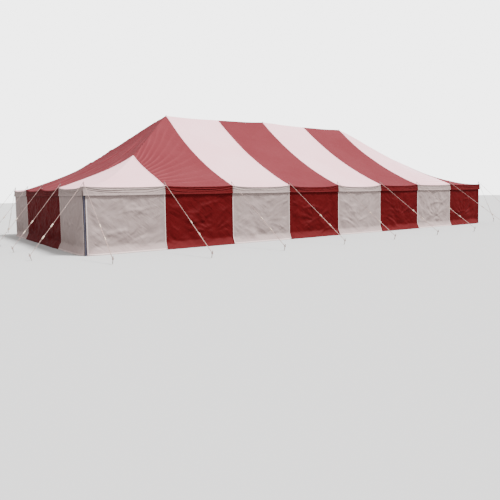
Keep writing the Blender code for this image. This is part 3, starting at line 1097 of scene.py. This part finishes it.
class Curtain:
    """One wall's cloth, and where each point of it hangs."""

    def __init__(self, start, end, bays, starts_at_corner, ends_at_corner):
        self.start = Vector(start)
        self.width = (Vector(end) - self.start).length
        self.along = (Vector(end) - self.start).normalized()
        self.outward = Vector((self.along.y, -self.along.x))
        self.corners = [0.0] * starts_at_corner + [self.width] * ends_at_corner
        self.bays = [self.choose_folds() for _ in range(bays)]

    def choose_folds(self):
        return {
            "rows": drapes[chooser.randrange(DRAPE_KINDS)],
            "creases": crease_grids[chooser.randrange(CREASE_KINDS)],
            "turned": chooser.random() < 0.5,
            "depth": FOLD_DEPTH * chooser.uniform(0.85, 1.15),
            "burst": (chooser.uniform(0.8, 1.7), chooser.uniform(1.15, 1.5)),
            "burst_count": chooser.randrange(13, 18),
            "burst_depth": BURST_DEPTH * chooser.uniform(0.3, 1.1),
        }

    def burst(self, bay, x, down):
        """Creases that run up and out from a point low in the middle."""
        dx, dy = x - bay["burst"][0], bay["burst"][1] - down
        distance = math.hypot(dx, dy)
        upward = smoothstep(-0.1, 0.35, dy / max(distance, 0.01))
        strength = smoothstep(0.05, 0.3, distance) * math.exp(-((distance / BURST_REACH) ** 2))
        sideways = 0.35 + 0.65 * abs(dx) / max(distance, 0.01)
        wander = 2.5 * noise.noise(Vector((x, down, self.start.x + self.start.y)))
        return bay["burst_depth"] * upward * strength * sideways * fan(dx, dy, bay["burst_count"], wander)

    def corner_pull(self, from_post, down):
        """Short creases that run down and in from a top corner."""
        distance = math.hypot(from_post, down)
        strength = smoothstep(0.02, 0.15, distance) * math.exp(-distance / CORNER_PULL_REACH)
        return CORNER_PULL_DEPTH * strength * fan(from_post, down, 20)

    def fold(self, across, down):
        """How far the cloth stands out from its plane."""
        share = min(max(across / self.width, 0), 1) * len(self.bays)
        index = min(int(share), len(self.bays) - 1)
        bay = self.bays[index]
        local = share - index
        x, from_post = local * BAY, min(local, 1 - local) * BAY
        depth = bay["depth"] * read_grid(bay["rows"], local, down / WALL_DROP, bay["turned"])
        depth += read_grid(bay["creases"], local, down / WALL_DROP, bay["turned"])
        depth += self.burst(bay, x, down)
        depth *= smoothstep(0.05, 0.35, down) * smoothstep(WALL_DROP + 0.05, WALL_DROP - 0.3, down)
        depth *= smoothstep(-0.05, 0.25, from_post)
        depth += self.corner_pull(from_post, down)
        return max(depth, 0) if from_post < 0.12 else depth

    def place(self, across, down, lift=0.0):
        """The point of the cloth at distances across and down from its top corner."""
        foot_share = max(0, (down - WALL_TOP + WALL_FLAP_HEIGHT) / FLAP_LENGTH)
        taper = min([smoothstep(-0.1, CORNER_TAPER, abs(across - edge)) for edge in self.corners] + [1])
        height = WALL_TOP - down if foot_share == 0 else WALL_FLAP_HEIGHT * (1 - foot_share)
        spread = WALL_FLAP_SPREAD * foot_share * taper
        wave = noise.noise(Vector((across * 2.2, self.start.y, self.start.x)))
        spread += smoothstep(WALL_DROP - 0.35, WALL_DROP, down) * 0.02 * (wave - 0.3)
        out = WALL_FACE + CLOTH + lift + self.fold(across, down) + spread
        x, y = self.start + self.along * across + self.outward * out
        return x, y, max(height, 0.003)


chooser = random.Random(11)
print("curtains are", BAY, "m wide and drop", round(WALL_DROP, 3), "m")

# %% Wall curtains and their hems
SIDE_HEM = 0.035
FOOT_HEM = 0.05
HEM_LIFT = 0.0025
# Painted shadow: a band of wall just below the valance, where the valance's shadow falls, is painted darker.
VALANCE_SHADOW_BAND = (VALANCE_BOTTOM - 0.07, VALANCE_BOTTOM)
VALANCE_SHADOW_DARKNESS = 1.3


def hang_patches(name, curtain, patches, slot, lift=0.0, finish=None):
    """Hangs flat rectangles of cloth, cut into grids, where the curtain hangs."""
    bm = bmesh.new()
    for low, high, columns, rows in patches:
        add_patch(bm, low, high, columns, rows)
    keep_flat_places(bm, 1.7 * curtain.start.y - curtain.start.x)
    for vert in bm.verts:
        vert.co = curtain.place(vert.co.x, -vert.co.y, lift)
    face_outwards(bm, Vector((*curtain.outward, 0)))
    ridge = shade_folds(bm)
    # Painted shadow: the wall is painted darker in the band just below the valance, where the valance's
    # shadow falls.
    for vert in bm.verts:
        vert[ridge] -= VALANCE_SHADOW_DARKNESS * smoothstep(*VALANCE_SHADOW_BAND, vert.co.z)
    made = piece(name, bm, slot, finish)
    give_thickness(made, CLOTH)
    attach(made, "root")
    return made


def hang_wall(node, start, end, slot, bays=1, corners=(False, False)):
    curtain = Curtain(start, end, bays, *corners)
    width, columns = curtain.width, DRAPE_COLUMNS * bays
    whole = [((0, -WALL_DROP), (width, 0), columns, DRAPE_ROWS)]
    made = hang_patches(f"curtain_{node}", curtain, whole, slot)
    hems = [
        ((0, -WALL_DROP), (SIDE_HEM, 0), 2, DRAPE_ROWS),
        ((width - SIDE_HEM, -WALL_DROP), (width, 0), 2, DRAPE_ROWS),
        ((SIDE_HEM, -WALL_DROP), (width - SIDE_HEM, FOOT_HEM - WALL_DROP), columns, 2),
    ]
    finish = "white_hem" if slot == "wall_white" else slot
    hem = hang_patches(f"hem_{node}", curtain, hems, slot, HEM_LIFT, finish)
    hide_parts(node)


for index in range(SIDE_BAYS):
    at_low, at_high = index == 0, index == LAST
    low = -HALF_LENGTH + index * BAY + CORNER_GAP * at_low
    high = -HALF_LENGTH + (index + 1) * BAY - CORNER_GAP * at_high
    slot = f"wall_{stripe(index)}"
    for side, sign in (("front", -1), ("back", 1)):
        start, end = (low, sign * HALF_WIDTH), (high, sign * HALF_WIDTH)
        corners = (at_low, at_high)
        if side == "back":
            start, end, corners = end, start, corners[::-1]
        posts = [f"side_pole_{side}_{index + 1}", f"side_pole_{side}_{index + 2}"]
        hang_wall(f"wall_{side}_{index + 1}", start, end, slot, corners=corners)
for side, sign, outer, inner in (("left", -1, 0, 1), ("right", 1, LAST, LAST - 1)):
    spans = (
        ("front", -HALF_WIDTH + CORNER_GAP, -BAY, 1, (True, False)),
        ("middle", -BAY, BAY, 2, (False, False)),
        ("back", BAY, HALF_WIDTH - CORNER_GAP, 1, (False, True)),
    )
    for place, low, high, bays, corners in spans:
        start, end = (sign * HALF_LENGTH, low), (sign * HALF_LENGTH, high)
        if side == "left":
            start, end, corners = end, start, corners[::-1]
        slot = f"wall_{stripe(inner if bays == 2 else outer)}"
        posts = [f"side_pole_{side}_{1 if place != 'back' else 3}"]
        hang_wall(f"wall_{side}_{place}", start, end, slot, bays, corners)
print("hung walls in", 2 * (SIDE_BAYS + END_BAYS), "bays")

# %% [markdown]
# ## Side poles
#
# A side pole is a steel tube with a plug at the top that narrows to a spike. The
# spike goes up through an eyelet in the roof's edge, and the guy rope's eye drops
# over it. Such a piece is turned: its outline is drawn once and spun.

# %% Side poles and their eyelets
POLE_RADIUS = 0.025
SPIKE_RADIUS = 0.007
POLE_SHOULDER = 1.955
SIDE_GUY_REACH = 2.85
CORNER_GUY_REACH = 2.2
END_GUY_REACH = 1.45


def turned(name, outline, sides, place, slot):
    """A round piece spun from its outline of (radius, height) points."""
    bm = bmesh.new()
    points = [(0, outline[0][1]), *outline, (0, outline[-1][1])]
    verts = [bm.verts.new((radius, 0, height)) for radius, height in points]
    edges = [bm.edges.new(pair) for pair in zip(verts, verts[1:])]
    bmesh.ops.spin(
        bm,
        geom=verts + edges,
        axis=(0, 0, 1),
        cent=(0, 0, 0),
        angle=math.tau,
        steps=sides,
        use_merge=True,
    )
    bmesh.ops.remove_doubles(bm, verts=bm.verts[:], dist=1e-5)
    bmesh.ops.recalc_face_normals(bm, faces=bm.faces[:])
    bmesh.ops.translate(bm, verts=bm.verts[:], vec=place)
    made = piece(name, bm, slot)
    made.data.set_sharp_from_angle(angle=math.radians(35))
    return made


SIDE_POLE_OUTLINE = [
    (0.042, 0.0),
    (0.045, 0.002),
    (0.045, 0.006),
    (0.042, 0.008),
    (0.029, 0.009),
    (0.026, 0.014),
    (POLE_RADIUS, 0.018),
    (POLE_RADIUS, 0.90),
    (POLE_RADIUS + 0.0015, 0.903),
    (POLE_RADIUS + 0.0015, 0.935),
    (POLE_RADIUS, 0.938),
    (POLE_RADIUS, POLE_SHOULDER - 0.02),
    (POLE_RADIUS - 0.003, POLE_SHOULDER - 0.004),
    (0.018, POLE_SHOULDER),
    (SPIKE_RADIUS, POLE_SHOULDER + 0.002),
    (SPIKE_RADIUS, SPIKE_TOP - 0.012),
    (SPIKE_RADIUS * 0.75, SPIKE_TOP - 0.004),
    (SPIKE_RADIUS * 0.35, SPIKE_TOP),
]


def side_poles():
    """(node, x, y, ways that its ropes pull) of every side pole."""
    for index in range(SIDE_BAYS + 1):
        x = -HALF_LENGTH + index * BAY
        ends = [(math.copysign(1, x), 0)] if index in (0, SIDE_BAYS) else []
        for side, sign in (("front", -1), ("back", 1)):
            yield f"side_pole_{side}_{index + 1}", x, sign * HALF_WIDTH, [(0, sign)] + ends
    for index in range(1, END_BAYS):
        y = -HALF_WIDTH + index * BAY
        yield f"side_pole_left_{index}", -HALF_LENGTH, y, [(-1, 0)]
        yield f"side_pole_right_{index}", HALF_LENGTH, y, [(1, 0)]


def eyelet(x, y, radius):
    """A brass ring set in the cloth round a spike."""
    outline = [
        (radius + 0.0008, -0.004),
        (radius + 0.012, -0.004),
        (radius + 0.014, 0.0),
        (radius + 0.012, 0.0035),
        (radius + 0.005, 0.005),
        (radius + 0.0008, 0.003),
    ]
    bm = bmesh.new()
    verts = [bm.verts.new((r, 0, z)) for r, z in outline]
    edges = [bm.edges.new(pair) for pair in zip(verts, verts[1:] + verts[:1])]
    bmesh.ops.spin(
        bm,
        geom=verts + edges,
        axis=(0, 0, 1),
        cent=(0, 0, 0),
        angle=math.tau,
        steps=20,
        use_merge=True,
    )
    bmesh.ops.remove_doubles(bm, verts=bm.verts[:], dist=1e-5)
    bmesh.ops.recalc_face_normals(bm, faces=bm.faces[:])
    bmesh.ops.translate(bm, verts=bm.verts[:], vec=(x, y, roof_height(x, y) + 0.004))
    return bm


eyelets = bmesh.new()
for node, x, y, ways in side_poles():
    made = turned(f"tube_{node}", SIDE_POLE_OUTLINE, 20, (x, y, 0), "side_pole")
    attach(made, "root")
    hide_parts(node)
    join_to(eyelets, eyelet(x, y, SPIKE_RADIUS))
for name, x in (("left", -RIDGE_END), ("middle", 0.0), ("right", RIDGE_END)):
    join_to(eyelets, eyelet(x, 0.0, 0.0112))
    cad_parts[f"centre_pole_{name}"].data.materials.clear()
    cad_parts[f"centre_pole_{name}"].data.materials.append(FINISHES["centre_pole"])
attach(piece("eyelets", eyelets, "peg_steel"), "root")
print("set", len(list(side_poles())), "side poles")

# %% [markdown]
# ## Guy ropes
#
# Each rope leaves an eye on the spike, runs straight to the peg and comes back to a
# wooden slider, so its lower part is doubled. A laid rope is three strands twisted
# together: a circle swollen in three places, spun along the rope as it goes.

# %% Guy ropes, sliders and pegs
ROPE_RADIUS = 0.0065
ROPE_TURN = 0.10
ROPE_SIDES = 9
PEG_HEIGHT = 0.20
PEG_LEAN = 0.06
PEG_RADIUS = 0.013
SLIDER_PLACES = (0.60, 0.76)
SPLICE_PLACE = 0.15


def turn_towards(facing):
    """The turn that points a piece's own Z axis in a direction."""
    return Vector(facing).to_track_quat("Z", "X").to_matrix().to_4x4()


def laid_rope(start, end, radius):
    """A rope of three twisted strands between two points."""
    way = end - start
    rings = max(8, round(way.length / ROPE_TURN * 8))
    bm = bmesh.new()
    add_patch(bm, (0, 0), (math.tau, way.length), ROPE_SIDES, rings)
    for vert in bm.verts:
        angle, length = vert.co.x, vert.co.y
        out = 0.9 * radius * (1 + 0.16 * math.cos(3 * angle))
        twist = angle + length / ROPE_TURN * math.tau / 3
        vert.co = (out * math.cos(twist), out * math.sin(twist), length)
    bmesh.ops.transform(bm, matrix=Matrix.Translation(start) @ turn_towards(way), verts=bm.verts[:])
    bmesh.ops.remove_doubles(bm, verts=bm.verts[:], dist=1e-5)
    bmesh.ops.holes_fill(bm, edges=[e for e in bm.edges if e.is_boundary], sides=0)
    bmesh.ops.recalc_face_normals(bm, faces=bm.faces[:])
    return bm


def rope_loop(centre, radius, facing, turns=1):
    """A ring of rope, tied round a spike or a peg."""
    bm = bmesh.new()
    profile = bmesh.ops.create_circle(bm, segments=8, radius=ROPE_RADIUS * 0.9)["verts"]
    bmesh.ops.rotate(bm, verts=profile, matrix=Matrix.Rotation(math.pi / 2, 3, "X"))
    bmesh.ops.translate(bm, verts=profile, vec=(radius, 0, 0))
    rise = ROPE_RADIUS * 1.6 / 20 if turns > 1 else 0
    bmesh.ops.spin(
        bm,
        geom=bm.verts[:] + bm.edges[:],
        axis=(0, 0, 1),
        cent=(0, 0, 0),
        dvec=(0, 0, rise),
        angle=math.tau * turns,
        steps=20 * turns,
        use_merge=turns == 1,
    )
    bmesh.ops.remove_doubles(bm, verts=bm.verts[:], dist=1e-5)
    open_edges = [e for e in bm.edges if e.is_boundary]
    if open_edges:
        bmesh.ops.holes_fill(bm, edges=open_edges, sides=0)
    bmesh.ops.recalc_face_normals(bm, faces=bm.faces[:])
    bmesh.ops.transform(bm, matrix=Matrix.Translation(centre) @ turn_towards(facing), verts=bm.verts[:])
    return bm


def slider(centre, facing):
    """A wooden runner: a short rounded bar."""
    bm = bmesh.new()
    bmesh.ops.create_cube(bm, size=1)
    bmesh.ops.scale(bm, vec=(0.034, 0.024, 0.115), verts=bm.verts[:])
    bmesh.ops.bevel(
        bm,
        geom=bm.edges[:],
        offset=0.008,
        segments=3,
        profile=0.5,
        affect="EDGES",
        material=-1,
    )
    bmesh.ops.transform(bm, matrix=Matrix.Translation(centre) @ turn_towards(facing), verts=bm.verts[:])
    return bm


PEG_OUTLINE = [
    (PEG_RADIUS * 0.95, 0.0),
    (PEG_RADIUS, 0.004),
    (PEG_RADIUS, PEG_HEIGHT - 0.012),
    (PEG_RADIUS * 1.7, PEG_HEIGHT - 0.009),
    (PEG_RADIUS * 1.85, PEG_HEIGHT - 0.003),
    (PEG_RADIUS * 1.6, PEG_HEIGHT + 0.002),
    (PEG_RADIUS * 0.8, PEG_HEIGHT + 0.004),
]


def guy(name, x, y, outward, reach):
    """One guy rope with all that is on it, pulling towards outward."""
    outward = Vector((*outward, 0))
    head = Vector((x, y, ROPE_HEIGHT))
    foot = Vector((x, y, 0)) + outward * reach
    lean = outward * PEG_LEAN + Vector((0, 0, PEG_HEIGHT))
    hitch = foot + lean * 0.7
    pull = hitch - head
    way = pull.normalized()
    beside = way.cross(Vector((0, 0, 1))).normalized() * 0.011
    upper, lower = (head + pull * share for share in SLIDER_PLACES)
    ropes = laid_rope(head + way * 0.016, hitch - way * PEG_RADIUS, ROPE_RADIUS)
    join_to(ropes, laid_rope(upper + beside, hitch - way * 0.02 + beside, ROPE_RADIUS * 0.8))
    join_to(ropes, rope_loop(head, 0.016, (0, 0, 1)))
    join_to(ropes, rope_loop(foot + lean * 0.62, PEG_RADIUS + 0.008, lean, turns=3))
    join_to(ropes, rope_loop(head + pull * SPLICE_PLACE, ROPE_RADIUS * 1.1, way, turns=3))
    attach(piece(f"rope_{name}", ropes, "guy_rope"), "root")
    runners = slider(upper, way)
    join_to(runners, slider(lower, way))
    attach(piece(f"sliders_{name}", runners, "slider"), "root")
    peg = turned(f"peg_{name}", PEG_OUTLINE, 14, (0, 0, 0), "peg_steel")
    shear = Matrix.Identity(4)
    shear.col[2] = (lean.x / PEG_HEIGHT, lean.y / PEG_HEIGHT, 1, 0)
    peg.data.transform(Matrix.Translation(foot) @ shear)
    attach(peg, "root")


rope_count = 0
for node, x, y, ways in side_poles():
    for way in ways:
        on_side, at_corner = way[0] == 0, len(ways) == 2
        label = node.replace("side_pole_", "") + ("_side" if on_side else "_end")
        side_reach = CORNER_GUY_REACH if at_corner else SIDE_GUY_REACH
        guy(label, x, y, way, side_reach if on_side else END_GUY_REACH)
        rope_count += 1
print("tied", rope_count, "guy ropes")

# %% [markdown]
# ## Floor and light
#
# The tent stands on a plain pale floor. A pale sky lights it softly from all round,
# and one broad lamp, high on the right, gives the roof its brightness, shapes the
# folds of the front walls and leaves the left end in shade. The backdrop that the
# camera sees is brighter than the sky that lights the cloth, as a lit paper
# backdrop in a studio is.

# %% Floor and light
bm = bmesh.new()
bmesh.ops.create_grid(bm, x_segments=1, y_segments=1, size=120)
mesh = bpy.data.meshes.new("floor")
bm.to_mesh(mesh)
bm.free()
floor = bpy.data.objects.new("floor", mesh)
floor.location.z = -0.001
bpy.context.scene.collection.objects.link(floor)
floor_finish = Finish("floor_paint")
floor.data.materials.append(
    floor_finish.surface(Base_Color=(0.52, 0.517, 0.515), Roughness=0.9, Specular_IOR_Level=0.0)
)

SKY_STRENGTH = 1.15
SKY_SLANT = 0.3
BACKDROP_STRENGTH = 5.5
world = bpy.data.worlds.new("sky")
world.use_nodes = True
links = world.node_tree.links
sky_nodes = world.node_tree.nodes
sky = sky_nodes["Background"]
sky.inputs["Color"].default_value = (1.0, 0.99, 0.985, 1)
facing = sky_nodes.new("ShaderNodeTexCoord")
axes = sky_nodes.new("ShaderNodeSeparateXYZ")
brighter = sky_nodes.new("ShaderNodeMath")
brighter.operation = "MULTIPLY_ADD"
brighter.inputs[1].default_value = SKY_STRENGTH * SKY_SLANT
brighter.inputs[2].default_value = SKY_STRENGTH
links.new(facing.outputs["Generated"], axes.inputs[0])
links.new(axes.outputs["X"], brighter.inputs[0])
links.new(brighter.outputs[0], sky.inputs["Strength"])
backdrop = sky_nodes.new("ShaderNodeBackground")
backdrop.inputs["Strength"].default_value = BACKDROP_STRENGTH
rays = sky_nodes.new("ShaderNodeLightPath")
either = sky_nodes.new("ShaderNodeMixShader")
links.new(rays.outputs["Is Camera Ray"], either.inputs[0])
links.new(sky.outputs[0], either.inputs[1])
links.new(backdrop.outputs[0], either.inputs[2])
links.new(either.outputs[0], sky_nodes["World Output"].inputs["Surface"])
bpy.context.scene.world = world

sun = bpy.data.objects.new("sun", bpy.data.lights.new("sun", "SUN"))
sun.data.energy = 9.0
sun.data.angle = math.radians(14)
sun.rotation_euler = Vector((-0.30, 0.42, -0.86)).to_track_quat("-Z", "Y").to_euler()
bpy.context.scene.collection.objects.link(sun)
print("lit")
